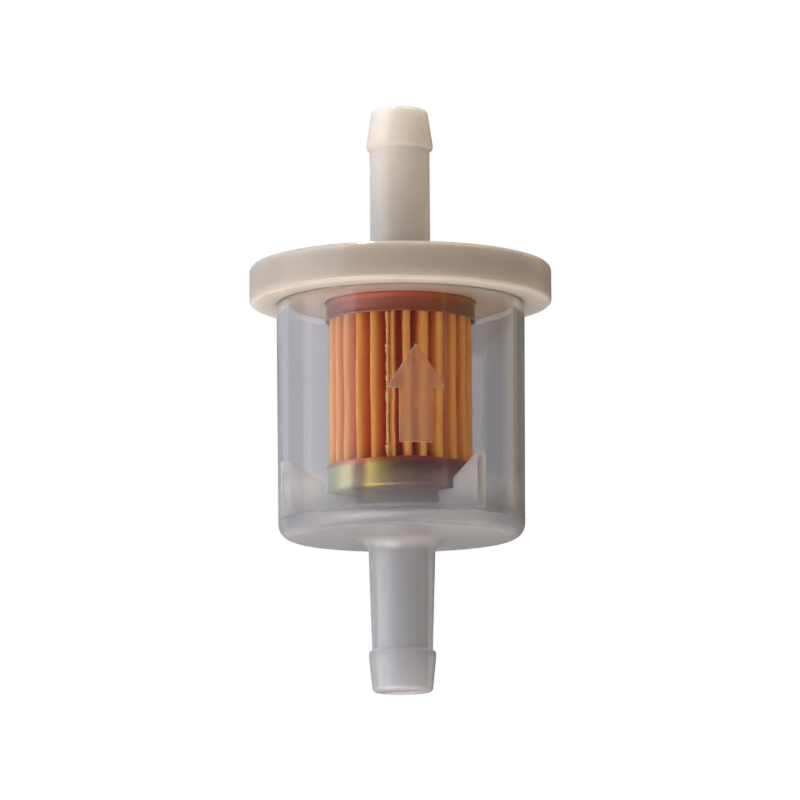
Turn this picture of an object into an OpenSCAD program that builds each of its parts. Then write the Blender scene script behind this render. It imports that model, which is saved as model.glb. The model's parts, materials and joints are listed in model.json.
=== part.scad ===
// In-line fuel filter for small engines. A see-through bowl is welded to a
// flanged cap, and a pleated paper element stands between them on three ribs.
// Fuel comes in at the bottom, passes the paper from its outside to its core,
// and leaves at the top.
// Origin: centre of the inlet mouth. +Z: the way the fuel flows. -Y: the front.

/* [Hose nipples] */
// Inside diameter of the fuel hose that both nipples take
hose_id = 6.35; // [6.1:0.05:6.6]
// Bore through both nipples
bore_d = 4; // [3:0.1:4.4]
// How much wider than the hose the nipples' tubes are
tube_grip = 0.33; // [0.1:0.01:0.5]
// How much wider than the hose the barbs are
barb_grip = 1.05; // [0.8:0.05:1.4]
// Length of a barb's lead-in cone
lead_in = 3.9; // [3:0.1:5]
// Length of the straight land on top of a barb
land = 0.5; // [0.4:0.05:0.8]
// Height of the slope behind a barb's land
barb_back = 0.3; // [0.2:0.05:0.5]
// Rounding of the mouths' outer edge
mouth_round = 0.5; // [0.3:0.05:0.6]
// Inlet nipple, from its mouth to the bowl
inlet_len = 16.95; // [14:0.05:20]
// Outlet nipple, from the flange to its mouth
outlet_len = 17.85; // [14:0.05:20]
// Diameter of the inlet's mouth
inlet_tip_d = 6.6; // [6.2:0.05:6.8]
// Diameter of the outlet's mouth
outlet_tip_d = 6.2; // [6:0.05:6.6]
// Diameter of the inlet nipple where it joins the bowl
inlet_root_d = 7.45; // [7:0.05:8]

/* [Bowl] */
// Outside diameter of the bowl at the flange
bowl_d = 27.6; // [27.2:0.05:29]
// Height of the bowl, from its underside to the flange
bowl_len = 26.25; // [24:0.05:30]
// Thickness of the bowl's wall
wall = 1.2; // [1:0.05:1.3]
// Thickness of the bowl's floor
floor_t = 1.3; // [1:0.05:1.6]
// How much smaller the bowl's radius is at its floor
draft = 0.18; // [0.05:0.01:0.3]
// Rounding under the bowl
bowl_round = 1.65; // [1:0.05:2]
// Fillet where the inlet nipple meets the bowl
root_fillet = 1.6; // [0.4:0.05:1.8]

/* [Cap] */
// Diameter of the flange
flange_d = 33.6; // [31:0.1:38]
// Thickness of the flange
flange_t = 4.2; // [3.8:0.1:5]
// Rounding of the flange's upper edge
flange_round_top = 0.6; // [0.3:0.05:1]
// Rounding of the flange's lower edge
flange_round_low = 0.35; // [0.2:0.05:0.6]
// How far the bowl's rim is welded into the flange
rim_depth = 1.5; // [1:0.1:2]
// Depth of the seat that centres the element
seat_depth = 0.4; // [0.3:0.05:0.6]
// Outside diameter of the spigot inside the element
spigot_d = 6.2; // [6:0.05:6.4]
// Length of the spigot below the flange
spigot_len = 3.2; // [2.6:0.1:4]

/* [Ribs] */
// Number of ribs that carry the element
rib_count = 3; // [3:1:4]
// Thickness of a rib
rib_t = 1.1; // [0.8:0.05:1.4]
// Turn of the first rib from +X, in degrees
rib_turn = -48; // [-60:1:-42]
// Height of the ledge under the element
ledge_h = 3.45; // [3:0.05:4.4]
// Where a ledge's inner end is, from the axis
ledge_r = 6.5; // [5.5:0.1:7]

/* [Flow arrow] */
// Turn of the arrow from +X, in degrees
arrow_turn = -83.1; // [-95:0.1:-70]
// Height of the arrow's lower end above the bowl's underside
arrow_low = 8.85; // [7:0.05:10]
// Length of the arrow's shaft
shaft_len = 6; // [4:0.1:7]
// Width of the arrow's shaft
shaft_w = 3.8; // [3:0.1:4.4]
// Length of the arrow's head
head_len = 4.9; // [4:0.1:6]
// Width of the arrow's head
head_w = 6.1; // [5:0.1:7]
// How far the arrow stands out of the bowl
arrow_relief = 0.22; // [0.15:0.01:0.3]

/* [Filter element] */
// Diameter of the upper end cap's skirt
upper_cap_d = 16.5; // [16:0.05:16.6]
// Diameter of the lower end cap
lower_cap_d = 16.4; // [16:0.05:16.5]
// Thickness of the end caps' and the core's sheet steel
sheet_t = 0.25; // [0.2:0.01:0.3]
// Height of the upper end cap's skirt
upper_skirt = 2.5; // [2.2:0.1:3]
// Height of the lower end cap
lower_skirt = 3.3; // [2.6:0.1:3.6]
// Number of pleats
pleats = 26; // [20:1:28]
// Thickness of the paper
paper_t = 0.3; // [0.25:0.01:0.35]
// Width of a pleat's outer fold
fold_w = 0.84; // [0.75:0.01:0.9]
// Diameter of the perforated core
core_d = 8.9; // [8.8:0.05:9]
// Diameter of the core's holes
core_hole_d = 1.8; // [1.2:0.1:2]
// Number of holes around the core
core_columns = 8; // [6:2:8]
// Number of rows of holes
core_rows = 6; // [4:1:6]
// Turn of the paper's glued seam from +X, in degrees
seam_turn = -98.4; // [-120:0.1:-60]

/* [Hidden] */
$fn = 96;
eps = 0.01;

bore_r = bore_d / 2;
tube_r = (hose_id + tube_grip) / 2;
barb_r = (hose_id + barb_grip) / 2;

// Heights, from the inlet's mouth up
bowl_z = inlet_len;
floor_z = bowl_z + floor_t;
flange_z = bowl_z + bowl_len;
top_z = flange_z + flange_t;
mouth_z = top_z + outlet_len;
ledge_z = floor_z + ledge_h;
seat_z = flange_z + seat_depth;
rim_z = flange_z + rim_depth;

// Bowl
bowl_r = bowl_d / 2;
bowl_low_r = bowl_r - draft;
bowl_in_r = bowl_r - wall;
inner_round = 0.5;
funnel = 1;

// Element: the caps' sheet, the paper and the adhesive that holds them
upper_in_r = upper_cap_d / 2 - sheet_t;
lower_in_r = lower_cap_d / 2 - sheet_t;
cap_bend = 0.5;
lip = 0.12;
upper_disc_z = seat_z - sheet_t;
upper_skirt_z = seat_z - upper_skirt;
paper_r = min(upper_in_r, lower_in_r) - 0.05;
valley_w = 0.2;
core_r = core_d / 2;
core_in_r = core_r - sheet_t;
paper_in_r = core_r + 0.15;
upper_potting_t = 1.6;
lower_potting_t = lower_skirt - sheet_t - 0.4;
potting_hole_r = 1;
paper_end_gap = 0.4;
paper_low_z = ledge_z + sheet_t + paper_end_gap;
paper_high_z = upper_disc_z - paper_end_gap;
lower_potting_z = ledge_z + sheet_t + lower_potting_t;
upper_potting_z = upper_disc_z - upper_potting_t;

// Neck of the upper end cap, and the grommet between it and the spigot
neck_in_r = spigot_d / 2 + 0.65;
neck_len = 1.6;
grommet_lip_r = neck_in_r + 1.25;
grommet_lip_t = 0.5;
grommet_low = 0.5;

// Weld groove: a hair wider than the bowl's rim
weld_gap = 0.02;

// ---- Shared shapes -------------------------------------------------------

// Half section of a disc on z = 0 with rounded edges. A rounding of 0 is sharp.
module disc_profile(r, h, low, high) {
  translate([0, low]) square([r, h - low - high]);
  square([r - low, h / 2]);
  translate([0, h / 2]) square([r - high, h / 2]);
  if (low > 0) translate([r - low, low]) circle(low);
  if (high > 0) translate([r - high, h - high]) circle(high);
}

// Half section of a concave fillet between a tube of radius r and the face at
// z. It lies above the face when side is 1, and below it when side is -1.
module fillet_profile(r, z, f, side) {
  translate([0, z]) mirror([0, side > 0 ? 0 : 1]) difference() {
    translate([r - f, -eps]) square([2 * f, f + eps]);
    translate([r + f, f]) circle(f);
  }
}

// Half section of a barbed nipple, solid, mouth at z = 0 and root at z = len
module nipple_profile(len, tip_r, root_r) {
  land_z = lead_in + land;
  polygon([
    [0, 0], [tip_r - mouth_round, 0], [tip_r, mouth_round], [barb_r, lead_in],
    [barb_r, land_z], [tube_r, land_z + barb_back], [root_r, len], [0, len]
  ]);
  translate([tip_r - mouth_round, mouth_round]) circle(mouth_round);
}

// Straight bore, open at both ends
module bore(from_z, to_z) {
  translate([0, 0, from_z]) cylinder(r = bore_r, h = to_z - from_z);
}

// ---- Housing -------------------------------------------------------------

module bowl_outside() {
  rotate_extrude() {
    nipple_profile(inlet_len, inlet_tip_d / 2, inlet_root_d / 2);
    fillet_profile(inlet_root_d / 2, bowl_z, root_fillet, -1);
    translate([0, bowl_z]) disc_profile(bowl_low_r, 2 * bowl_round, bowl_round, 0);
    polygon([
      [0, bowl_z + bowl_round], [bowl_low_r, bowl_z + bowl_round],
      [bowl_r, flange_z], [bowl_r, rim_z], [0, rim_z]
    ]);
  }
}

module bowl_inside() {
  low_r = bowl_in_r - draft;
  rotate_extrude() {
    translate([0, floor_z]) disc_profile(low_r, 2 * inner_round, inner_round, 0);
    polygon([
      [0, floor_z + inner_round], [low_r, floor_z + inner_round],
      [bowl_in_r, flange_z], [bowl_in_r, rim_z + 1], [0, rim_z + 1]
    ]);
    polygon([
      [0, floor_z - funnel], [bore_r, floor_z - funnel],
      [bore_r + funnel, floor_z + eps], [0, floor_z + eps]
    ]);
  }
}

// One rib: a ledge under the element, a step beside it, a slope up to the wall
module rib() {
  step_r = lower_cap_d / 2 + 0.55;
  step_z = ledge_z + 1.1;
  slope_z = step_z + 2.6;
  root_r = bowl_in_r - draft + wall / 2;
  rotate([90, 0, 0]) translate([0, 0, -rib_t / 2]) linear_extrude(rib_t) polygon([
    [ledge_r, floor_z - floor_t / 2], [ledge_r, ledge_z], [step_r, ledge_z],
    [step_r, step_z], [root_r - wall / 2, slope_z], [root_r, slope_z],
    [root_r, floor_z - floor_t / 2]
  ]);
}

// Outline of the arrow, lower end at y = 0
module arrow_outline() {
  blunt = 0.2;
  head_y = shaft_len + head_len;
  half = head_w / 2;
  points = [
    [shaft_w / 2, 0], [shaft_w / 2, shaft_len], [half - blunt, shaft_len],
    [half, shaft_len + blunt], [half - blunt / 2, shaft_len + 2.2 * blunt],
    [blunt / 2, head_y - blunt / 2], [0, head_y]
  ];
  mirrored = [for (i = [len(points) - 2:-1:0]) [-points[i][0], points[i][1]]];
  polygon(concat(points, mirrored));
}

// The arrow follows the bowl's curve and its draft
module flow_arrow() {
  slope = draft / (bowl_len - bowl_round);
  low_z = bowl_z + arrow_low;
  high_z = low_z + shaft_len + head_len;
  low_r = bowl_r + arrow_relief - slope * (flange_z - low_z);
  high_r = bowl_r + arrow_relief - slope * (flange_z - high_z);
  intersection() {
    rotate([0, 0, arrow_turn]) translate([bowl_in_r, 0, low_z])
      rotate([90, 0, 90]) linear_extrude(2 * wall) arrow_outline();
    rotate_extrude() polygon([
      [bowl_r - wall / 2, low_z - 1], [low_r - slope, low_z - 1],
      [high_r + slope, high_z + 1], [bowl_r - wall / 2, high_z + 1]
    ]);
  }
}

// Bowl, inlet nipple, ribs and arrow are one moulding
module bowl() {
  color("lightsteelblue", 0.5) {
    difference() {
      bowl_outside();
      bowl_inside();
      bore(-1, floor_z);
    }
    for (i = [0:rib_count - 1]) rotate([0, 0, rib_turn + i * 360 / rib_count]) rib();
    flow_arrow();
  }
}

// Flange, outlet nipple and spigot are one moulding
module cap() {
  color("antiquewhite") difference() {
    rotate_extrude() {
      translate([0, flange_z])
        disc_profile(flange_d / 2, flange_t, flange_round_low, flange_round_top);
      translate([0, mouth_z]) mirror([0, 1])
        nipple_profile(outlet_len + eps, outlet_tip_d / 2, tube_r);
      fillet_profile(tube_r, top_z, mouth_round, 1);
      translate([0, flange_z - spigot_len]) square([spigot_d / 2, spigot_len + eps]);
    }
    // seat for the element and, deeper, for the grommet's lip
    rotate_extrude() polygon([
      [spigot_d / 2, flange_z - eps], [upper_cap_d / 2 + 0.15, flange_z - eps],
      [upper_cap_d / 2 + 0.15, seat_z], [grommet_lip_r + 0.1, seat_z],
      [grommet_lip_r + 0.1, seat_z + grommet_lip_t],
      [spigot_d / 2, seat_z + grommet_lip_t]
    ]);
    // groove that takes the bowl's rim
    rotate_extrude() polygon([
      [bowl_in_r - weld_gap, flange_z - eps], [bowl_r + weld_gap, flange_z - eps],
      [bowl_r + weld_gap, rim_z + weld_gap], [bowl_in_r - weld_gap, rim_z + weld_gap]
    ]);
    bore(flange_z - spigot_len - 1, mouth_z + 1);
  }
}

// ---- Filter element ------------------------------------------------------

// Half section of a cup stamped from sheet, closed at z = 0
module cup_profile(r, h) {
  difference() {
    disc_profile(r, h, cap_bend, 0);
    translate([0, sheet_t])
      disc_profile(r - sheet_t, h, cap_bend - sheet_t, 0);
  }
}

// A stamped cup, mouth down, with a drawn neck and a lip turned out at its rim
module upper_end_cap() {
  r = upper_cap_d / 2;
  lip_h = 3 * lip;
  color("rosybrown") rotate_extrude() {
    difference() {
      translate([0, seat_z]) mirror([0, 1]) cup_profile(r, upper_skirt);
      translate([0, upper_skirt_z]) square([neck_in_r, upper_skirt + 1]);
    }
    translate([neck_in_r, upper_disc_z - neck_len]) square([sheet_t, neck_len + eps]);
    translate([r, upper_skirt_z])
      polygon([[-sheet_t, 0], [lip, 0], [lip, lip], [0, lip_h], [-sheet_t, lip_h]]);
  }
}

// A stamped cup, mouth up
module lower_end_cap() {
  color("olive") rotate_extrude()
    translate([0, ledge_z]) cup_profile(lower_cap_d / 2, lower_skirt);
}

// One closed fold line of the paper. Its folds reach out to out_r, where they
// are out_w wide, and in to in_r, where the gap between them is in_w wide.
function fold_line(out_r, out_w, in_r, in_w) = [
  for (i = [0:pleats - 1])
    let (mid = seam_turn + (i + 0.5) * 360 / pleats, next = mid + 180 / pleats)
      each [
        [out_r * cos(mid) + out_w / 2 * sin(mid), out_r * sin(mid) - out_w / 2 * cos(mid)],
        [out_r * cos(mid) - out_w / 2 * sin(mid), out_r * sin(mid) + out_w / 2 * cos(mid)],
        [in_r * cos(next) + in_w / 2 * sin(next), in_r * sin(next) - in_w / 2 * cos(next)],
        [in_r * cos(next) - in_w / 2 * sin(next), in_r * sin(next) + in_w / 2 * cos(next)]
      ]
];

module paper(low_z, high_z) {
  translate([0, 0, low_z]) linear_extrude(high_z - low_z) difference() {
    polygon(fold_line(paper_r, fold_w, paper_in_r + paper_t, valley_w));
    polygon(fold_line(paper_r - paper_t, fold_w - 2 * paper_t, paper_in_r,
      valley_w + 2 * paper_t));
  }
}

module pleated_medium() {
  color("sandybrown") paper(paper_low_z, paper_high_z);
}

// Bead that closes the paper into a ring, in the valley between two pleats
module seam_glue() {
  bead_r = 0.4;
  bead_from = lower_potting_z + 0.1;
  bead_to = upper_potting_z - 0.1;
  color("gold") rotate([0, 0, seam_turn])
    translate([paper_r - fold_w, 0, bead_from]) cylinder(r = bead_r, h = bead_to - bead_from);
}

// Adhesive poured into an end cap, standing on z = 0. It fills the cup's bend.
module potting(r, in_r, depth) {
  rotate_extrude() difference() {
    disc_profile(r, depth, cap_bend - sheet_t, 0);
    translate([0, -1]) square([in_r, depth + 2]);
  }
}

// The paper and the core stand in the adhesive
module upper_potting() {
  color("seashell") difference() {
    translate([0, 0, upper_disc_z]) mirror([0, 0, 1]) potting(upper_in_r, core_r, upper_potting_t);
    paper(upper_potting_z - 1, paper_high_z);
  }
}

module lower_potting() {
  color("seashell") difference() {
    translate([0, 0, ledge_z + sheet_t]) potting(lower_in_r, potting_hole_r, lower_potting_t);
    paper(paper_low_z, lower_potting_z + 1);
    core_shell();
  }
}

module core_shell() {
  translate([0, 0, paper_low_z]) difference() {
    cylinder(r = core_r, h = paper_high_z - paper_low_z);
    translate([0, 0, -1]) cylinder(r = core_in_r, h = paper_high_z - paper_low_z + 2);
  }
}

// Perforated tube that stops the paper from folding inwards
module core_tube() {
  span = upper_potting_z - lower_potting_z;
  pitch = span / core_rows;
  color("silver") difference() {
    core_shell();
    for (row = [0:core_rows - 1], column = [0:core_columns / 2 - 1])
      translate([0, 0, lower_potting_z + (row + 0.5) * pitch])
        rotate([90, 0, (column + (row % 2) / 2) * 360 / core_columns])
          translate([0, 0, -core_d]) cylinder(r = core_hole_d / 2, h = 2 * core_d);
  }
}

// Rubber sleeve with a lip: it seals the end cap's neck to the spigot
module outlet_grommet() {
  low_z = upper_disc_z - neck_len - grommet_low;
  color("dimgray") difference() {
    union() {
      translate([0, 0, low_z]) cylinder(r = neck_in_r, h = seat_z - low_z + eps);
      translate([0, 0, seat_z]) cylinder(r = grommet_lip_r, h = grommet_lip_t);
    }
    translate([0, 0, low_z - 1]) cylinder(r = spigot_d / 2, h = seat_z - low_z + 2);
  }
}

bowl();
cap();
outlet_grommet();
upper_end_cap();
upper_potting();
pleated_medium();
seam_glue();
core_tube();
lower_potting();
lower_end_cap();
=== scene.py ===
# %% [markdown]
# # An in-line fuel filter for small engines
# The filter is two mouldings welded together, a see-through bowl and a milky
# cap, with a pleated paper element between them. The frame below brings in the
# engineer's model in metres, and every piece made here is placed from it.

# %% Load the frame
import json
import math
import random

import bmesh
import bpy
from mathutils import Matrix, Vector, noise


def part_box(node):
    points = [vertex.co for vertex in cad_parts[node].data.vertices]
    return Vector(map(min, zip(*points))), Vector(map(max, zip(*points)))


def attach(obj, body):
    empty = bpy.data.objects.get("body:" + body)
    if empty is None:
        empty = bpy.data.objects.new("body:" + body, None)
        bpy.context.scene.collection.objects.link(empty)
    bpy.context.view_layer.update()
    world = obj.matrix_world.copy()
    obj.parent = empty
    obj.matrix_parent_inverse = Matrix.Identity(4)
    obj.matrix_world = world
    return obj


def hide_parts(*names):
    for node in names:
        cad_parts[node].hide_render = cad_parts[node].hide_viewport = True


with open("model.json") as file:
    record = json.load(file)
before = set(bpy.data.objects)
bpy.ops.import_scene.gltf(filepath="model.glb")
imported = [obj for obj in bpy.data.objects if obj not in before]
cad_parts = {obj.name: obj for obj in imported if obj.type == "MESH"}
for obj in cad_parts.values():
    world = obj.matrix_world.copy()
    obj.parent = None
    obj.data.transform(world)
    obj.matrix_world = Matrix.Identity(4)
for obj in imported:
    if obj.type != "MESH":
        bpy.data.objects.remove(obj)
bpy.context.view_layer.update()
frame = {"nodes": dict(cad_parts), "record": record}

MM = 0.001
print("nodes:", sorted(frame["nodes"]))

# %% [markdown]
# ## Heights and radii
# The boxes of the engineer's nodes give every place that a piece is built
# from. Wall thicknesses and small roundings are the maker's own sizes, in
# millimetres, because no box can show them.

# %% Measure the frame
bowl_low, bowl_high = (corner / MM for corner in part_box("bowl"))
cap_low, cap_high = (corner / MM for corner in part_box("cap"))
upper_low, upper_high = (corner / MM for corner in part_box("upper_end_cap"))
lower_low, lower_high = (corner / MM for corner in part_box("lower_end_cap"))
grommet_low, grommet_high = (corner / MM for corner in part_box("outlet_grommet"))
core_low, core_high = (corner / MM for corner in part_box("core_tube"))
mounts = {mount["name"]: mount for mount in frame["record"]["mounts"]}
bore_r = mounts["inlet_bore"]["dims"]["r_mm"]
barb_r = mounts["inlet_barb"]["dims"]["r_mm"]

WALL = 1.2
FLOOR = 1.3
DRAFT = 0.18
RIM_DEPTH = 1.5
FLANGE = 4.2
FUNNEL = 1.0
TUBE_R = 3.34
bowl_r = bowl_high.x
rim_z = bowl_high.z
flange_z = rim_z - RIM_DEPTH
floor_z = mounts["inlet_bore"]["dims"]["length_mm"] + FUNNEL
under_z = floor_z - FLOOR
flange_top_z = flange_z + FLANGE
print("bowl radius", round(bowl_r, 2), "flange at", round(flange_z, 2), "floor at", round(floor_z, 2))

# %% [markdown]
# ## The camera
# The filter is seen from a little below, through a long lens, so that its
# sides stay almost upright. The camera looks at a point on the axis, and a
# hair of roll leans the filter's top to the left.

# %% Place the camera
CLIMB = math.radians(8.76)
ROLL = math.radians(-0.34)
DISTANCE = 0.5048
LOOK_AT = Vector((-0.00012, 0.0, 0.0325))
camera_data = bpy.data.cameras.new("camera")
camera_data.sensor_width = 36
camera_data.lens = 204.8
camera_data.clip_start = 0.01
camera = bpy.data.objects.new("camera", camera_data)
bpy.context.scene.collection.objects.link(camera)
sight = Vector((0, math.cos(CLIMB), math.sin(CLIMB)))
turn = Matrix.Rotation(math.pi / 2 + CLIMB, 4, "X") @ Matrix.Rotation(ROLL, 4, "Z")
camera.matrix_world = Matrix.Translation(LOOK_AT - DISTANCE * sight) @ turn
bpy.context.scene.camera = camera
print("camera at", [round(v, 4) for v in camera.matrix_world.translation])

# %% [markdown]
# ## Small helpers for materials
# Colours are written as the hex values that a paint program shows, and Cycles
# wants them linear. One function adds a node, sets it and links it.

# %% Colour and node helpers
def linear(hex_colour, alpha=1.0):
    """An sRGB hex colour as linear RGBA."""
    channels = [int(hex_colour[i:i + 2], 16) / 255 for i in (1, 3, 5)]
    return tuple(c / 12.92 if c <= 0.04045 else ((c + 0.055) / 1.055) ** 2.4 for c in channels) + (alpha,)


def add(tree, kind, inputs=None, **settings):
    """Add one node. Settings are its own values, inputs are values or the outputs that feed it."""
    made = tree.nodes.new(kind)
    for name, value in settings.items():
        setattr(made, name, value)
    for name, value in (inputs or {}).items():
        if isinstance(value, bpy.types.NodeSocket):
            tree.links.new(value, made.inputs[name])
        else:
            made.inputs[name].default_value = value
    return made


def start_material(name):
    """An empty material: its node tree and its output node."""
    material = bpy.data.materials.new(name)
    material.use_nodes = True
    material.node_tree.nodes.clear()
    return material, material.node_tree, add(material.node_tree, "ShaderNodeOutputMaterial")


def per_metre(size_mm):
    """The scale of a texture whose features are this many millimetres across."""
    return 1 / (size_mm * MM)


def along_z(tree, place, stops):
    """A value that changes with height: (height in mm, value) stops, with smooth steps between them."""
    low, high = stops[0][0], stops[-1][0]
    height = add(tree, "ShaderNodeSeparateXYZ", {0: place.outputs["Object"]})
    share = add(tree, "ShaderNodeMapRange", {"Value": height.outputs["Z"], "From Min": low * MM, "From Max": high * MM})
    steps = add(tree, "ShaderNodeValToRGB", {0: share.outputs[0]})
    steps.color_ramp.interpolation = "EASE"
    for _ in stops[2:]:
        steps.color_ramp.elements.new(0.5)
    for element, (z, value) in zip(steps.color_ramp.elements, stops):
        element.position = (z - low) / (high - low)
        element.color = (value, value, value, 1)
    return steps.outputs[0]


def off_axis(tree, place):
    """The distance from the object's axis, in metres."""
    axes = add(tree, "ShaderNodeSeparateXYZ", {0: place.outputs["Object"]})
    flat = add(tree, "ShaderNodeCombineXYZ", {"X": axes.outputs["X"], "Y": axes.outputs["Y"]})
    return add(tree, "ShaderNodeVectorMath", {0: flat.outputs[0]}, operation="LENGTH").outputs["Value"]


print("orange is", [round(c, 3) for c in linear("#E08A3C")])

# %% [markdown]
# ## Studio
# A pale floor well below the filter, one broad soft light from the left, a
# weak one from the right, and a grey room all round that the plastic shows
# through itself. The room is white only where the camera looks straight at it.

# %% Build the studio
FLOOR_Z = -0.30
FLOOR_SIZE = 6
FLOOR_BACK = 1.15
bpy.ops.mesh.primitive_plane_add(size=FLOOR_SIZE, location=(0, FLOOR_BACK - FLOOR_SIZE / 2, FLOOR_Z))
floor = bpy.context.object
floor.name = "studio_floor"
paper_white, tree, output = start_material("matt_white_board")
grain = add(tree, "ShaderNodeTexNoise", {"Scale": per_metre(4), "Detail": 3.0})
tint = add(tree, "ShaderNodeMix", {0: grain.outputs["Fac"], 6: linear("#DCDAD8"), 7: linear("#E4E2E0")},
           data_type="RGBA")
board = add(tree, "ShaderNodeBsdfPrincipled", {"Base Color": tint.outputs[2], "Roughness": 0.8})
tree.links.new(board.outputs[0], output.inputs["Surface"])
floor.data.materials.append(paper_white)

world = bpy.data.worlds.new("grey_room")
bpy.context.scene.world = world
world.use_nodes = True
room = world.node_tree
room.nodes.clear()
direction = add(room, "ShaderNodeTexCoord")
split = add(room, "ShaderNodeSeparateXYZ", {0: direction.outputs["Generated"]})
level = add(room, "ShaderNodeMapRange", {"Value": split.outputs["X"], "From Min": -0.28, "From Max": 0.25,
                                         "To Min": 0.54, "To Max": 0.19}, interpolation_type="SMOOTHSTEP")
shade = add(room, "ShaderNodeMapRange", {"Value": split.outputs["Y"], "From Min": -0.9, "From Max": -0.1,
                                         "To Min": 0.06, "To Max": level.outputs[0]},
            interpolation_type="SMOOTHSTEP")
ceiling = add(room, "ShaderNodeMapRange", {"Value": split.outputs["Z"], "From Min": 0.25, "From Max": 0.75,
                                           "To Min": 0.0, "To Max": 0.7}, interpolation_type="SMOOTHSTEP")
strength = add(room, "ShaderNodeMath", {0: shade.outputs[0], 1: ceiling.outputs[0]}, operation="ADD")
warmth = add(room, "ShaderNodeMapRange", {"Value": split.outputs["X"], "From Min": -0.5, "From Max": 0.8})
wall = add(room, "ShaderNodeMix", {0: warmth.outputs[0], 6: linear("#F6F6FF"), 7: linear("#FFEBD2")},
           data_type="RGBA")
grey = add(room, "ShaderNodeBackground", {"Color": wall.outputs[2], "Strength": strength.outputs[0]})
white = add(room, "ShaderNodeBackground", {"Color": (1, 1, 1, 1), "Strength": 1.0})
path = add(room, "ShaderNodeLightPath")
seen = add(room, "ShaderNodeMixShader", {0: path.outputs["Is Camera Ray"], 1: grey.outputs[0],
                                         2: white.outputs[0]})
add(room, "ShaderNodeOutputWorld", {"Surface": seen.outputs[0]})


def soft_box(name, azimuth, height, distance, width, tall, power, colour):
    """A rectangular area light, aimed at the filter's middle. Azimuth 0 is the camera's side."""
    data = bpy.data.lights.new(name, "AREA")
    data.shape = "RECTANGLE"
    data.size = width
    data.size_y = tall
    data.energy = power
    data.color = linear(colour)[:3]
    lamp = bpy.data.objects.new(name, data)
    bpy.context.scene.collection.objects.link(lamp)
    angle = math.radians(azimuth)
    lamp.location = (distance * math.sin(angle), -distance * math.cos(angle), height)
    lamp.rotation_euler = (LOOK_AT - lamp.location).to_track_quat("-Z", "Y").to_euler()
    lamp.visible_camera = False
    return lamp


soft_box("key_left", -72, 0.00, 0.40, 0.46, 0.70, 0.95, "#F8F6FF")
soft_box("left_high", -62, 0.30, 0.36, 0.35, 0.30, 0.42, "#FFF8F0")
soft_box("front_high", -20, 0.38, 0.30, 0.40, 0.25, 0.08, "#FFECD8")
soft_box("low_left", -60, -0.20, 0.22, 0.45, 0.25, 0.60, "#FFF4E8")
soft_box("low_front", -30, -0.20, 0.36, 0.40, 0.20, 0.70, "#FFF0DC")
soft_box("right_high", 66, 0.52, 0.26, 0.30, 0.30, 0.60, "#FFF0DC")
soft_box("low_right", 62, -0.25, 0.16, 0.35, 0.25, 0.33, "#FFE4C4")
soft_box("edge_right", 125, 0.08, 0.50, 0.20, 0.50, 0.08, "#FFE6C8")
soft_box("strip_right", 41, 0.03, 0.50, 0.008, 0.50, 0.02, "#FFF6E8")
soft_box("top_glint", -137, 0.48, 0.13, 0.04, 0.03, 1.00, "#FFFFFF")
soft_box("low_glint", -46, -0.22, 0.30, 0.02, 0.03, 0.10, "#FFFFFF")
bpy.context.scene.view_settings.view_transform = "Standard"

# %% [markdown]
# ## Natural nylon, polished
# The bowl is injection-moulded nylon with no pigment. Its mould is polished, so
# the wall is clear with a faint grey haze. Nylon's IOR is 1.53. The inlet
# nipple is formed by an unpolished pin, so it looks frosted, and the haze
# grows below the bowl's floor.

# %% Polished nylon
def polished_nylon():
    material, tree, output = start_material("natural_nylon_polished")
    place = add(tree, "ShaderNodeTexCoord")
    clear = along_z(tree, place, [
        (under_z - 1, 0.68), (floor_z, 0.84), (floor_z + 3, 0.94), (floor_z + 6, 0.995), (rim_z, 0.995)])
    purity = along_z(tree, place, [(under_z - 1, 0.5), (floor_z, 0.3), (floor_z + 4, 1.0), (rim_z, 1.0)])
    colour = add(tree, "ShaderNodeMix", {0: purity, 6: linear("#989CA6"), 7: linear("#F6F8FC")}, data_type="RGBA")
    rough = along_z(tree, place, [(under_z - 2, 0.10), (under_z, 0.25), (floor_z, 0.35), (floor_z + 1.5, 0.05), (rim_z, 0.04)])
    # the melt cools unevenly, which leaves waves about 7 mm long in the skin
    waves = add(tree, "ShaderNodeTexNoise", {"Vector": place.outputs["Object"], "Scale": per_metre(7),
                                             "Detail": 1.0})
    bump = add(tree, "ShaderNodeBump", {"Height": waves.outputs["Fac"], "Strength": 0.25,
                                        "Distance": 0.1 * MM})
    skin = add(tree, "ShaderNodeBsdfPrincipled", {
        "Base Color": colour.outputs[2], "IOR": 1.53, "Roughness": rough, "Subsurface Weight": 1.0,
        "Subsurface Radius": (0.8, 0.9, 1.0), "Subsurface Scale": 3 * MM,
        "Transmission Weight": clear, "Normal": bump.outputs[0]})
    tree.links.new(skin.outputs[0], output.inputs["Surface"])
    return material


# %% [markdown]
# ## Natural nylon, textured
# The ribs and the raised arrow are cut into the mould with a plain cutter and
# left unpolished. Their fine tool marks scatter the light, which makes them
# look like frosted glass.

# %% Textured nylon
def textured_nylon(name, clearness, roughness):
    material, tree, output = start_material(name)
    place = add(tree, "ShaderNodeTexCoord")
    # tool marks of about 0.15 mm
    marks = add(tree, "ShaderNodeTexNoise", {"Vector": place.outputs["Object"], "Scale": per_metre(0.15),
                                             "Detail": 2.0})
    bump = add(tree, "ShaderNodeBump", {"Height": marks.outputs["Fac"], "Strength": 0.3,
                                        "Distance": 0.02 * MM})
    skin = add(tree, "ShaderNodeBsdfPrincipled", {
        "Base Color": linear("#FBF8F6"), "IOR": 1.53, "Roughness": roughness,
        "Transmission Weight": clearness, "Subsurface Weight": 1.0,
        "Subsurface Radius": (1.0, 0.9, 0.8), "Subsurface Scale": 2 * MM, "Normal": bump.outputs[0]})
    tree.links.new(skin.outputs[0], output.inputs["Surface"])
    return material


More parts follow.
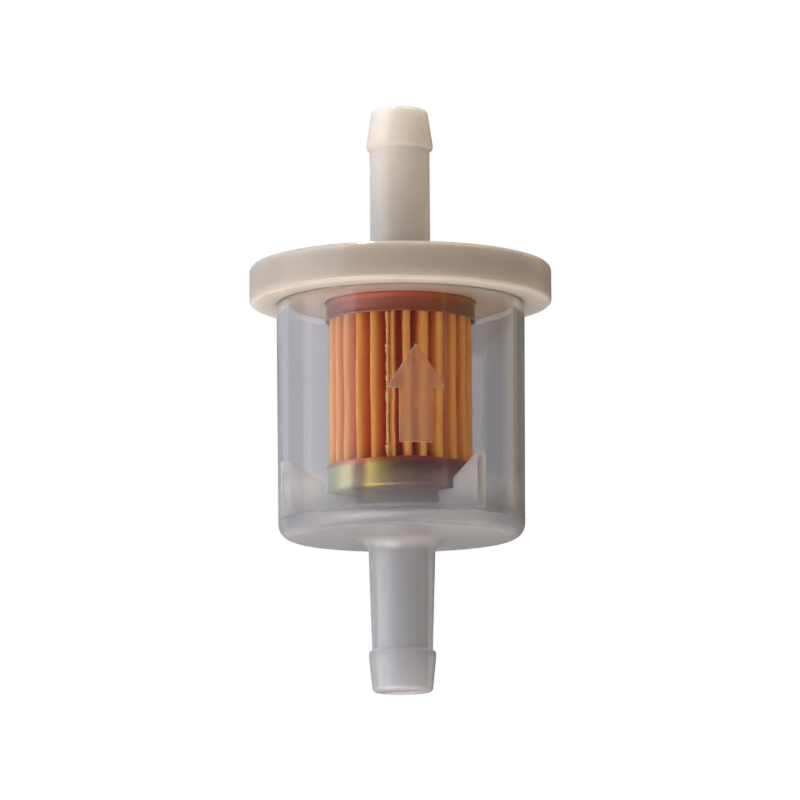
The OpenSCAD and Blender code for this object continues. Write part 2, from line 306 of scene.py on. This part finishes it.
# %% [markdown]
# ## Natural nylon, milky
# The cap is the same plastic in a thick section. Light enters, scatters on the
# crystals inside and comes out some millimetres away, so it looks like cream
# wax. Subsurface scattering does that, with a reach of about 2 mm.

# %% Milky nylon
def milky_nylon():
    material, tree, output = start_material("natural_nylon_milky")
    place = add(tree, "ShaderNodeTexCoord")
    # the resin's cloudiness varies over about 12 mm
    clouds = add(tree, "ShaderNodeTexNoise", {"Vector": place.outputs["Object"], "Scale": per_metre(12),
                                              "Detail": 2.0})
    thin = add(tree, "ShaderNodeMix", {0: clouds.outputs["Fac"], 6: linear("#D8D2C9"), 7: linear("#E2DDD6")},
               data_type="RGBA")
    # painted shade: the thick flange is painted darker than the thin nipple, for the light it loses inside, with a
    # painted lighter band along its lower edge
    flange_shade = along_z(tree, place, [
        (flange_z, 0.5), (flange_z + 0.2, 0.0), (flange_top_z, 0.0), (flange_top_z + 4, 1.0)])
    flange_shaded_colour = add(tree, "ShaderNodeMix", {0: flange_shade, 6: linear("#B0AAA3"), 7: thin.outputs[2]}, data_type="RGBA")
    # painted light: inside the bowl the cap's underside is painted a lighter, warmer cream, standing in for light
    # reaching it from below
    underside_light_band = along_z(tree, place, [(cap_low.z, 1.0), (flange_z + 0.02, 1.0), (flange_z + 0.12, 0.0)])
    painted_underside_light = add(tree, "ShaderNodeMapRange", {
        "Value": off_axis(tree, place), "From Min": (bowl_r - WALL) * MM, "From Max": bowl_r * MM,
        "To Min": underside_light_band, "To Max": 0.0})
    colour = add(tree, "ShaderNodeMix", {0: painted_underside_light.outputs[0], 6: flange_shaded_colour.outputs[2], 7: linear("#F0E0C8")},
                 data_type="RGBA")
    # sink marks and flow lines about 5 mm long
    waves = add(tree, "ShaderNodeTexNoise", {"Vector": place.outputs["Object"], "Scale": per_metre(5),
                                             "Detail": 1.0})
    bump = add(tree, "ShaderNodeBump", {"Height": waves.outputs["Fac"], "Strength": 0.3,
                                        "Distance": 0.1 * MM})
    # the mould is polished outside and plain underneath
    rough = along_z(tree, place, [
        (cap_low.z, 0.45), (flange_z, 0.4), (flange_z + 0.6, 0.2), (flange_top_z, 0.12), (cap_high.z, 0.12)])
    skin = add(tree, "ShaderNodeBsdfPrincipled", {
        "Base Color": colour.outputs[2], "IOR": 1.53, "Roughness": rough, "Subsurface Weight": 1.0,
        "Transmission Weight": 0.25,
        "Subsurface Radius": (1.0, 0.9, 0.75), "Subsurface Scale": 4 * MM, "Normal": bump.outputs[0]})
    tree.links.new(skin.outputs[0], output.inputs["Surface"])
    return material


# %% [markdown]
# ## Steel with zinc and yellow chromate
# The end caps are stamped from thin steel, zinc plated and dipped in chromate.
# The chromate film is thinner than a wave of light in places, so it shines in gold, red, purple and green. Here the
# colours run across each cap from its left to its right with a slow wander: partly the film's own colours, partly
# painted reflections, and painted shade that darkens the right side. One rim of each cap also carries a painted band.

# %% Yellow-zinc steel
def yellow_zinc_steel(name, film_and_painted_light_bands, painted_rim_colour, painted_rim_stops):
    material, tree, output = start_material(name)
    place = add(tree, "ShaderNodeTexCoord")
    drift = add(tree, "ShaderNodeTexNoise", {"Vector": place.outputs["Object"], "Scale": per_metre(9),
                                             "Detail": 2.0, "Distortion": 0.4})
    # painted light: the ramp runs along X, from the cap's left to its right, mixing the film's own colours with painted
    # reflections and painted shade on the right
    axes = add(tree, "ShaderNodeSeparateXYZ", {0: place.outputs["Object"]})
    left_to_right = add(tree, "ShaderNodeMapRange", {"Value": axes.outputs["X"], "From Min": -8.4 * MM,
                                              "From Max": 8.4 * MM, "To Min": 0.0, "To Max": 1.0})
    wander = add(tree, "ShaderNodeMath", {0: drift.outputs["Fac"], 1: 0.16, 2: -0.08}, operation="MULTIPLY_ADD")
    film_and_painted_light = add(tree, "ShaderNodeMath", {0: left_to_right.outputs[0], 1: wander.outputs[0]}, operation="ADD")
    film_and_painted_light_colours = add(tree, "ShaderNodeValToRGB", {0: film_and_painted_light.outputs[0]})
    ramp = film_and_painted_light_colours.color_ramp
    for position, colour in film_and_painted_light_bands[2:]:
        ramp.elements.new(position)
    for element, (position, colour) in zip(ramp.elements, sorted(film_and_painted_light_bands)):
        element.position = position
        element.color = linear(colour)
    # a colour painted along one rim: a painted highlight along the lower cap's top edge, while the upper cap darkens
    # towards its lower edge
    painted_rim = add(tree, "ShaderNodeMix", {0: along_z(tree, place, painted_rim_stops), 6: film_and_painted_light_colours.outputs[0],
                                       7: linear(painted_rim_colour)}, data_type="RGBA")
    # drawing lines left by the press, about 0.3 mm apart
    lines = add(tree, "ShaderNodeTexNoise", {"Vector": place.outputs["Object"], "Scale": per_metre(0.6),
                                             "Detail": 3.0})
    rough = add(tree, "ShaderNodeMapRange", {"Value": lines.outputs["Fac"], "To Min": 0.32, "To Max": 0.46})
    bump = add(tree, "ShaderNodeBump", {"Height": lines.outputs["Fac"], "Strength": 0.15,
                                        "Distance": 0.02 * MM})
    metal = add(tree, "ShaderNodeBsdfPrincipled", {
        "Base Color": painted_rim.outputs[2], "Metallic": 1.0, "Roughness": rough.outputs[0],
        "Normal": bump.outputs[0]})
    tree.links.new(metal.outputs[0], output.inputs["Surface"])
    return material


# %% [markdown]
# ## Resin-treated filter paper
# Cellulose paper soaked in phenolic resin and cured, which turns it orange and
# stiff. Light passes through a single layer, so the folds glow and the valleys
# between them go red-brown. Its fibres are about 0.03 mm wide. They are drawn
# 0.2 mm wide, so that they still show.

# %% Filter paper
def resin_paper():
    material, tree, output = start_material("phenolic_filter_paper")
    place = add(tree, "ShaderNodeTexCoord")
    squeezed = add(tree, "ShaderNodeMapping", {"Vector": place.outputs["Object"], "Scale": (1, 1, 0.25)})
    fibres = add(tree, "ShaderNodeTexNoise", {"Vector": squeezed.outputs[0], "Scale": per_metre(0.25),
                                              "Detail": 4.0})
    stains = add(tree, "ShaderNodeTexNoise", {"Vector": place.outputs["Object"], "Scale": per_metre(3),
                                              "Detail": 3.0})
    base = add(tree, "ShaderNodeMix", {0: stains.outputs["Fac"], 6: linear("#FC9430"), 7: linear("#FFA444")},
               data_type="RGBA")
    flecked = add(tree, "ShaderNodeMix", {0: fibres.outputs["Fac"], 6: base.outputs[2], 7: linear("#FFC068")},
                  data_type="RGBA")
    # painted shade: the inner folds, the valleys between the pleats, are painted a darker red-orange
    valley_shade = add(tree, "ShaderNodeMapRange", {"Value": off_axis(tree, place), "From Min": 6.2 * MM,
                                                "From Max": 7.75 * MM, "To Min": 0.9, "To Max": 0.0})
    valley_shaded_paper = add(tree, "ShaderNodeMix", {0: valley_shade.outputs[0], 6: flecked.outputs[2], 7: linear("#F0640C")},
                 data_type="RGBA")
    bump = add(tree, "ShaderNodeBump", {"Height": fibres.outputs["Fac"], "Strength": 0.5,
                                        "Distance": 0.05 * MM})
    sheet = add(tree, "ShaderNodeBsdfPrincipled", {
        "Base Color": valley_shaded_paper.outputs[2], "Roughness": 0.75, "Subsurface Weight": 0.5,
        "Subsurface Radius": (1.0, 0.35, 0.12), "Subsurface Scale": 0.25 * MM, "Normal": bump.outputs[0]})
    tree.links.new(sheet.outputs[0], output.inputs["Surface"])
    return material


# %% [markdown]
# ## Plastisol, seam adhesive, rubber and bright steel
# The small hidden pieces. Plastisol is a thick vinyl paste that is poured and
# baked. The seam adhesive is a brittle bead. The grommet is moulded nitrile
# rubber, and the core is tin-plated sheet.

# %% Materials of the small pieces
def grained(name, dark, light, size_mm, roughness, metallic=0.0, depth_mm=0.03):
    """A plain finish: two near colours in a fine grain, with the grain as bump."""
    material, tree, output = start_material(name)
    place = add(tree, "ShaderNodeTexCoord")
    grain = add(tree, "ShaderNodeTexNoise", {"Vector": place.outputs["Object"], "Scale": per_metre(size_mm),
                                             "Detail": 3.0})
    colour = add(tree, "ShaderNodeMix", {0: grain.outputs["Fac"], 6: linear(dark), 7: linear(light)},
                 data_type="RGBA")
    bump = add(tree, "ShaderNodeBump", {"Height": grain.outputs["Fac"], "Strength": 0.4,
                                        "Distance": depth_mm * MM})
    skin = add(tree, "ShaderNodeBsdfPrincipled", {
        "Base Color": colour.outputs[2], "Metallic": metallic, "Roughness": roughness,
        "Normal": bump.outputs[0]})
    tree.links.new(skin.outputs[0], output.inputs["Surface"])
    return material


bowl_skin = polished_nylon()
rib_skin = textured_nylon("natural_nylon_rib_face", 0.03, 0.4)
arrow_skin = textured_nylon("natural_nylon_arrow_face", 0.97, 0.38)
cap_skin = milky_nylon()
# the bands of both caps are partly painted reflections and painted shade, darker to the right
upper_steel = yellow_zinc_steel(
    "yellow_zinc_steel_upper",
    [(0.0, "#B88C70"), (1.0, "#B08A34"), (0.1, "#F09A90"), (0.28, "#F09880"), (0.5, "#E88060"), (0.75, "#E07C44")],
    "#7C5850", [(upper_low.z, 0.7), (upper_low.z + 1.3, 0.5), (upper_low.z + 1.9, 0.0), (upper_high.z, 0.0)])
# the lower cap's pink top rim is a painted highlight
lower_steel = yellow_zinc_steel(
    "yellow_zinc_steel_lower",
    [(0.0, "#B4CCA4"), (1.0, "#8A6C78"), (0.1, "#D4D89C"), (0.16, "#C8C084"), (0.2, "#80604A"), (0.24, "#8A6A48"),
     (0.28, "#DCC862"), (0.34, "#C8B056"), (0.45, "#94684C"), (0.6, "#7C4E50"), (0.8, "#8E6068")],
    "#C8645C", [(lower_low.z, 0.0), (lower_high.z - 0.8, 0.0), (lower_high.z - 0.3, 0.6), (lower_high.z, 0.8)])
paper_skin = resin_paper()
plastisol = grained("cured_plastisol", "#A0503C", "#C07058", 0.8, 0.55)
bead_skin = grained("seam_adhesive", "#FFAE58", "#FFD08C", 0.4, 0.35)
rubber = grained("nitrile_rubber", "#161616", "#222222", 0.2, 0.6)
tinned = grained("tinned_steel", "#8E8C86", "#B4B2AC", 0.5, 0.32, metallic=1.0, depth_mm=0.01)
print("materials:", len(bpy.data.materials))

# %% [markdown]
# ## Turned shapes
# Both mouldings and both end caps are round. A lathe suits them: draw half the
# section as an outline, round its corners with arcs, and turn it about the
# axis. The outlines are in millimetres, as on a drawing.

# %% Outline and lathe helpers
ARC_STEPS = 7


def rounded(corners):
    """A closed outline from (radius, height, rounding) corners, with arcs at the rounded ones."""
    path = []
    for i, (radius, height, rounding) in enumerate(corners):
        here = Vector((radius, height))
        back = Vector(corners[i - 1][:2]) - here
        ahead = Vector(corners[(i + 1) % len(corners)][:2]) - here
        if rounding == 0:
            path.append(here)
            continue
        half = back.angle(ahead) / 2
        reach = min(rounding / math.tan(half), 0.49 * back.length, 0.49 * ahead.length)
        size = reach * math.tan(half)
        middle = here + (back.normalized() + ahead.normalized()).normalized() * size / math.sin(half)
        first = (here + back.normalized() * reach - middle).normalized()
        last = (here + ahead.normalized() * reach - middle).normalized()
        path += [middle + size * first.slerp(last, k / ARC_STEPS) for k in range(ARC_STEPS + 1)]
    return path


def lathe(outline, steps=240):
    """Turn a closed outline, in mm, about the Z axis into a bmesh, in metres."""
    shape = bmesh.new()
    rings = []
    for k in range(steps):
        angle = 2 * math.pi * k / steps
        rings.append([shape.verts.new((p.x * math.cos(angle) * MM, p.x * math.sin(angle) * MM, p.y * MM))
                      for p in outline])
    for ring, following in zip(rings, rings[1:] + rings[:1]):
        for i in range(len(outline)):
            j = (i + 1) % len(outline)
            if outline[i].x > 0 or outline[j].x > 0:
                shape.faces.new((ring[i], following[i], following[j], ring[j]))
    bmesh.ops.remove_doubles(shape, verts=shape.verts, dist=1e-8)
    return shape


def to_object(name, shape, *materials):
    """Turn a bmesh into a smooth object. Edges sharper than 38 degrees stay crisp."""
    bmesh.ops.recalc_face_normals(shape, faces=shape.faces)
    mesh = bpy.data.meshes.new(name)
    shape.to_mesh(mesh)
    shape.free()
    mesh.shade_smooth()
    mesh.set_sharp_from_angle(angle=math.radians(38))
    for material in materials:
        mesh.materials.append(material)
    piece = bpy.data.objects.new(name, mesh)
    bpy.context.scene.collection.objects.link(piece)
    return piece


def stands_for(piece, node):
    """The piece rides on the filter and hides the engineer's node."""
    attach(piece, "root")
    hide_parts(node)
    print(piece.name, "faces:", len(piece.data.polygons), "stands for", node)


# %% [markdown]
# ## The cap
# One moulding: a thick flange, the outlet nipple above it, and a spigot below
# it that fits the element. Underneath are a seat for the element and a groove
# that takes the bowl's rim.

# %% Turn the cap
BARB_CONE = 3.9
BARB_LAND = 0.5
BARB_BACK = 0.3
SPIGOT_R = 3.1
WELD_GAP = 0.02
seat_z = upper_high.z
lip_z = grommet_high.z
mouth_z = cap_high.z
flange_r = cap_high.x
seat_r = upper_high.x + 0.03
cap_corners = [
    (bore_r, cap_low.z, 0.1), (SPIGOT_R, cap_low.z, 0.2), (SPIGOT_R, lip_z, 0),
    (grommet_high.x + 0.1, lip_z, 0), (grommet_high.x + 0.1, seat_z, 0.05),
    (seat_r, seat_z, 0.05), (seat_r, flange_z, 0.1),
    (bowl_r - WALL - WELD_GAP, flange_z, 0), (bowl_r - WALL - WELD_GAP, rim_z + WELD_GAP, 0),
    (bowl_r + WELD_GAP, rim_z + WELD_GAP, 0), (bowl_r + WELD_GAP, flange_z, 0),
    (flange_r, flange_z, 0.5), (flange_r, flange_top_z, 0.6), (TUBE_R, flange_top_z, 0.5),
    (TUBE_R, mouth_z - BARB_CONE - BARB_LAND - BARB_BACK, 0.15),
    (barb_r, mouth_z - BARB_CONE - BARB_LAND, 0.2), (barb_r, mouth_z - BARB_CONE, 0.6),
    (3.1, mouth_z, 0.55), (bore_r, mouth_z, 0.15),
]
cap = to_object("flanged_cap", lathe(rounded(cap_corners)), cap_skin)
stands_for(cap, "cap")

# %% [markdown]
# ## The bowl
# The bowl starts as a turned shell with its inlet nipple. The ribs and the
# arrow are then joined to it as solids, so that light bends only at real
# surfaces: a see-through piece must not have walls inside its walls.

# %% Turn the bowl's shell
inlet_corners = [
    (bore_r, 0, 0.15), (3.3, 0, 0.55), (barb_r, BARB_CONE, 0.6), (barb_r, BARB_CONE + BARB_LAND, 0.2),
    (TUBE_R, BARB_CONE + BARB_LAND + BARB_BACK, 0.15), (3.725, under_z, 1.7),
    (bowl_r - DRAFT, under_z, 1.65), (bowl_r, flange_z, 0), (bowl_r, rim_z, 0),
    (bowl_r - WALL, rim_z, 0), (bowl_r - WALL, flange_z, 0), (bowl_r - WALL - DRAFT, floor_z, 1.2),
    (bore_r + FUNNEL, floor_z, 0.3), (bore_r, floor_z - FUNNEL, 0.3),
]
bowl = to_object("see_through_bowl", lathe(rounded(inlet_corners)), bowl_skin)
print("shell faces:", len(bowl.data.polygons))

# %% [markdown]
# ### Ribs
# Three ribs stand on the floor against the wall. Each has a ledge that the
# element rests on, a step that centres it, and a slope up to the wall.

# %% Make the ribs
RIB_COUNT = 3
RIB_THICK = 1.1
RIB_TURN = -48
EDGE_ROUND = 0.13


def rib(turn_degrees):
    """One rib with softened edges, turned to its place."""
    ledge_z = lower_low.z
    root_r = bowl_r - WALL / 2 - DRAFT
    slope_z = ledge_z + 3.7
    outline = [(6.5, floor_z - FLOOR / 2), (6.5, ledge_z), (8.75, ledge_z), (8.75, ledge_z + 1.1),
               (root_r - WALL / 2, slope_z), (root_r, slope_z), (root_r, floor_z - FLOOR / 2)]
    shape = bmesh.new()
    side = [shape.verts.new((r * MM, -RIB_THICK / 2 * MM, z * MM)) for r, z in outline]
    face = shape.faces.new(side)
    grown = bmesh.ops.extrude_face_region(shape, geom=[face])
    moved = [v for v in grown["geom"] if isinstance(v, bmesh.types.BMVert)]
    bmesh.ops.translate(shape, verts=moved, vec=(0, RIB_THICK * MM, 0))
    bmesh.ops.bevel(shape, geom=shape.edges[:], offset=EDGE_ROUND * MM, segments=3, affect="EDGES", profile=0.5)
    bmesh.ops.rotate(shape, verts=shape.verts, matrix=Matrix.Rotation(math.radians(turn_degrees), 3, "Z"))
    return to_object("rib", shape, rib_skin)


ribs = [rib(RIB_TURN + 360 / RIB_COUNT * k) for k in range(RIB_COUNT)]
print("ribs:", len(ribs))

# %% [markdown]
# ### The flow arrow
# The arrow stands 0.22 mm out of the bowl and follows its curve. It is drawn
# flat with rounded edges, cut into narrow upright strips so that it can bend,
# and then wrapped round the bowl.

# %% Make the arrow
ARROW_TURN = math.radians(-83.1)
ARROW_LOW = under_z + 8.85
RELIEF = 0.22
ARROW_EDGE = 0.1
STRIP = 0.3


def inset(loop, distance):
    """A closed loop of flat points, moved inwards by a distance."""
    moved = []
    for i, here in enumerate(loop):
        back = (here - loop[i - 1]).normalized()
        ahead = (loop[(i + 1) % len(loop)] - here).normalized()
        inward = Vector((-(back + ahead).y, (back + ahead).x)).normalized()
        moved.append(here + inward * distance / max(0.4, inward.dot(Vector((-ahead.y, ahead.x)))))
    return moved


def bowl_radius(height):
    """The bowl's outside radius at a height, with its draft."""
    return bowl_r - DRAFT * (flange_z - height) / (flange_z - under_z)


def flow_arrow():
    half = [(1.9, 0, 0.12), (1.9, 6, 0.1), (3.05, 6, 0.2), (3.05, 6.25, 0.15), (0, 10.9, 0.15)]
    other = [(-x, y, rounding) for x, y, rounding in reversed(half[:-1])]
    outline = rounded(half + other)
    rings = [(0, -0.35)]
    for k in range(4):
        lean = math.pi / 2 * k / 3
        rings.append((ARROW_EDGE * (1 - math.cos(lean)), RELIEF - ARROW_EDGE * (1 - math.sin(lean))))
    shape = bmesh.new()
    loops = [[shape.verts.new((p.x, p.y, out)) for p in (inset(outline, inward) if inward else outline)]
             for inward, out in rings]
    for lower, upper in zip(loops, loops[1:]):
        for i in range(len(lower)):
            j = (i + 1) % len(lower)
            shape.faces.new((lower[i], lower[j], upper[j], upper[i]))
    ends = [shape.faces.new(loops[-1]), shape.faces.new(list(reversed(loops[0])))]
    bmesh.ops.triangulate(shape, faces=ends)
    for k in range(-10, 11):
        bmesh.ops.bisect_plane(shape, geom=shape.verts[:] + shape.edges[:] + shape.faces[:],
                               plane_co=(k * STRIP, 0, 0), plane_no=(1, 0, 0))
    for v in shape.verts:
        height = ARROW_LOW + v.co.y
        angle = ARROW_TURN + v.co.x / bowl_r
        radius = bowl_radius(height) + v.co.z
        v.co = Vector((radius * math.cos(angle), radius * math.sin(angle), height)) * MM
    return to_object("flow_arrow", shape, arrow_skin)


arrow = flow_arrow()
print("arrow faces:", len(arrow.data.polygons))

# %% Join ribs and arrow to the bowl
def join_solids(main, others):
    """One closed solid from overlapping ones, keeping each one's material."""
    for other in others:
        union = main.modifiers.new("join", "BOOLEAN")
        union.operation = "UNION"
        union.solver = "EXACT"
        union.material_mode = "TRANSFER"
        union.object = other
    bpy.context.view_layer.update()
    finished = main.evaluated_get(bpy.context.evaluated_depsgraph_get())
    mesh = bpy.data.meshes.new_from_object(finished)
    main.modifiers.clear()
    main.data = mesh
    for other in others:
        bpy.data.objects.remove(other)
    mesh.set_sharp_from_angle(angle=math.radians(38))


join_solids(bowl, ribs + [arrow])
print("materials on the bowl:", [m.name for m in bowl.data.materials])
stands_for(bowl, "bowl")

# %% [markdown]
# ## The end caps
# Each is a cup of 0.25 mm sheet. The press leaves a soft bend, and trimming
# leaves the rim a little wavy. The upper one has a neck for the grommet and a
# lip turned outwards.

# %% Turn the end caps
SHEET = 0.25
upper_r = upper_high.x - 0.12
neck_r = grommet_low_r = SPIGOT_R + 0.65


def wavy(shape, centre_z, reach, size):
    """Bend a turned cup a little: its rim waves in and out, and its closed end stays round."""
    for v in shape.verts:
        share = min(1.0, abs(v.co.z / MM - centre_z) / reach)
        outward = Vector((v.co.x, v.co.y, 0))
        if outward.length < 6 * MM:
            continue
        wave = noise.noise(outward.normalized() * 2.2 + Vector((0, 0, centre_z)))
        lift = noise.noise(outward.normalized() * 3.1 + Vector((5, 0, centre_z)))
        v.co += outward.normalized() * wave * size * share * MM
        v.co.z += lift * size * share * MM
    return shape


upper_corners = [
    (neck_r, seat_z - SHEET - 1.6, 0.06), (neck_r + SHEET, seat_z - SHEET - 1.6, 0.06),
    (neck_r + SHEET, seat_z - SHEET, 0.15), (upper_r - SHEET, seat_z - SHEET, 0.25),
    (upper_r - SHEET, upper_low.z + 0.4, 0.1), (upper_r - 0.12, upper_low.z, 0.08),
    (upper_r + 0.12, upper_low.z, 0.08), (upper_r + 0.12, upper_low.z + 0.14, 0.06),
    (upper_r, upper_low.z + 0.45, 0.2), (upper_r, seat_z, 0.5), (neck_r, seat_z, 0.2),
]
upper_cap = to_object("upper_end_cap_pressing",
                      wavy(lathe(rounded(upper_corners)), seat_z, seat_z - upper_low.z, 0.08), upper_steel)
stands_for(upper_cap, "upper_end_cap")

lower_r = lower_high.x
lower_corners = [
    (0, lower_low.z, 0), (lower_r, lower_low.z, 0.5), (lower_r, lower_high.z, 0.08),
    (lower_r - SHEET, lower_high.z, 0.08), (lower_r - SHEET, lower_low.z + SHEET, 0.25),
    (0, lower_low.z + SHEET, 0),
]
lower_cap = to_object("lower_end_cap_pressing",
                      wavy(lathe(rounded(lower_corners)), lower_low.z, lower_high.z - lower_low.z, 0.06),
                      lower_steel)
stands_for(lower_cap, "lower_end_cap")

# %% [markdown]
# ## The pleated paper
# The paper is one ribbon, folded into 26 pleats and closed into a ring. Here
# it is made as it is folded: a path that goes round each outer fold, down the
# flank, round each inner fold and up again, given a thickness and drawn out
# along the axis. Hand and machine leave every fold slightly different, so the
# folds' places, depths and leans are drawn from a seeded random source.

# %% Fold the paper
PLEATS = 26
PAPER = 0.28
SEAM_TURN = math.radians(-98.4)
OUT_R = 7.85
IN_R = 4.62
OUTER_FOLD = 0.28
INNER_FOLD = 0.2
paper_low_z = core_low.z
paper_high_z = core_high.z
ROWS = 48


def fold_path(jitter):
    """The ribbon's middle line in mm, from one cut end to the other: (point, normal, pleat)."""
    pitch = 2 * math.pi / PLEATS
    radial = Vector((math.cos(SEAM_TURN), math.sin(SEAM_TURN)))
    tangent = Vector((-radial.y, radial.x))
    points = [(radial * OUT_R + tangent * OUTER_FOLD, tangent, 0)]
    for i in range(PLEATS):
        outer_angle = SEAM_TURN + i * pitch + jitter[i]["turn"]
        inner_angle = SEAM_TURN + (i + 0.5) * pitch + jitter[i]["inner_turn"]
        folds = [(outer_angle, OUT_R + jitter[i]["reach"] - OUTER_FOLD, OUTER_FOLD, 1),
                 (inner_angle, IN_R + INNER_FOLD + PAPER / 2, INNER_FOLD, -1)]
        for angle, middle_r, size, outwards in folds[i == 0:]:
            away = Vector((math.cos(angle), math.sin(angle)))
            along = Vector((-away.y, away.x))
            for k in range(9):
                sweep = math.pi * (k / 8 - 0.5)
                normal = away * math.cos(sweep) * outwards + along * math.sin(sweep)
                points.append((away * middle_r + normal * size, normal * outwards, i))
    points.append((radial * (OUT_R - 0.05) - tangent * OUTER_FOLD, -tangent, 0))
    return points


def pleated_paper():
    draw = random.Random(26)
    jitter = [{"turn": draw.gauss(0, 0.012), "inner_turn": draw.gauss(0, 0.01),
               "reach": draw.uniform(-0.12, 0.04), "lean": draw.gauss(0, 0.012)} for _ in range(PLEATS)]
    path = fold_path(jitter)
    fine = []
    for (here, normal, pleat), (following, next_normal, _) in zip(path, path[1:]):
        pieces = max(1, round((following - here).length / 0.35))
        for k in range(pieces):
            share = k / pieces
            fine.append((here.lerp(following, share), normal.lerp(next_normal, share).normalized(), pleat))
    fine.append(path[-1])
    shape = bmesh.new()
    sides = []
    for side in (0.5, -0.5):
        rows = []
        for row in range(ROWS + 1):
            share = row / ROWS
            z = paper_low_z + (paper_high_z - paper_low_z) * share
            ring = []
            for here, normal, pleat in fine:
                flat = here + normal * side * PAPER
                lean = jitter[pleat]["lean"] * (share - 0.5)
                seed = Vector((flat.x * 0.5, flat.y * 0.5, z * 0.22))
                wobble = noise.noise_vector(seed) * 0.09 + noise.noise_vector(seed * 5) * 0.02
                fade = min(1.0, share * 6, (1 - share) * 6)
                flat = flat + Vector((wobble.x, wobble.y)) * fade + Vector((-flat.y, flat.x)) * lean
                ring.append(shape.verts.new((flat.x * MM, flat.y * MM, z * MM)))
            rows.append(ring)
        sides.append(rows)
    last = len(fine) - 1
    front, back = sides
    for rows in sides:
        for low, high in zip(rows, rows[1:]):
            for i in range(last):
                shape.faces.new((low[i], low[i + 1], high[i + 1], high[i]))
    for end in (0, ROWS):
        for i in range(last):
            shape.faces.new((front[end][i], front[end][i + 1], back[end][i + 1], back[end][i]))
    for row in range(ROWS):
        for i in (0, last):
            shape.faces.new((front[row][i], front[row + 1][i], back[row + 1][i], back[row][i]))
    return shape


paper = to_object("pleated_paper", pleated_paper(), paper_skin)
stands_for(paper, "pleated_medium")

# %% [markdown]
# ## The glued seam
# The ribbon's two cut ends stand side by side as the first pleat, and glue
# holds them together. One line of it lies between the ends. Some has squeezed
# out over the left end and dried in lumps. Each is a rod whose thickness
# wanders along its length.

# %% Lay the seam bead
def seam_bead():
    radial = Vector((math.cos(SEAM_TURN), math.sin(SEAM_TURN), 0))
    left_to_right = Vector((-radial.y, radial.x, 0))
    shape = bmesh.new()
    levels = 200
    around = 16
    for aside, reach, thick, lumps in ((0.0, OUT_R - 0.5, 0.15, 0.02), (-0.32, OUT_R + 0.04, 0.13, 0.16)):
        low_z = lower_high.z + 0.15
        high_z = upper_low.z - 0.1
        rings = []
        for level_index in range(levels + 1):
            z = low_z + (high_z - low_z) * level_index / levels
            bulge = noise.noise(Vector((0, 3, z * 0.9))) + 0.8 * noise.noise(Vector((9, 0, z * 3.5)))
            size = max(0.04, thick + lumps * bulge)
            lean = aside + 0.05 * noise.noise(Vector((4, 7, z * 0.8)))
            ring = []
            for k in range(around):
                angle = 2 * math.pi * k / around
                offset = Vector((math.cos(angle), math.sin(angle), 0)) * size
                ring.append(shape.verts.new((radial * reach + left_to_right * lean + offset + Vector((0, 0, z))) * MM))
            rings.append(ring)
        for low, high in zip(rings, rings[1:]):
            for k in range(around):
                n = (k + 1) % around
                shape.faces.new((low[k], low[n], high[n], high[k]))
        shape.faces.new(rings[0])
        shape.faces.new(rings[-1])
    return shape


bead = to_object("seam_bead", seam_bead(), bead_skin)
stands_for(bead, "seam_glue")

# %% [markdown]
# ## The engineer's own pieces
# The core, the two rings of plastisol and the grommet already have the right
# shape, so they keep their meshes and only get their finishes.

# %% Finish the hidden pieces
for node, material in (("core_tube", tinned), ("upper_potting", plastisol),
                       ("lower_potting", plastisol), ("outlet_grommet", rubber)):
    mesh = frame["nodes"][node].data
    mesh.materials.clear()
    mesh.materials.append(material)
    print(node, "gets", material.name)
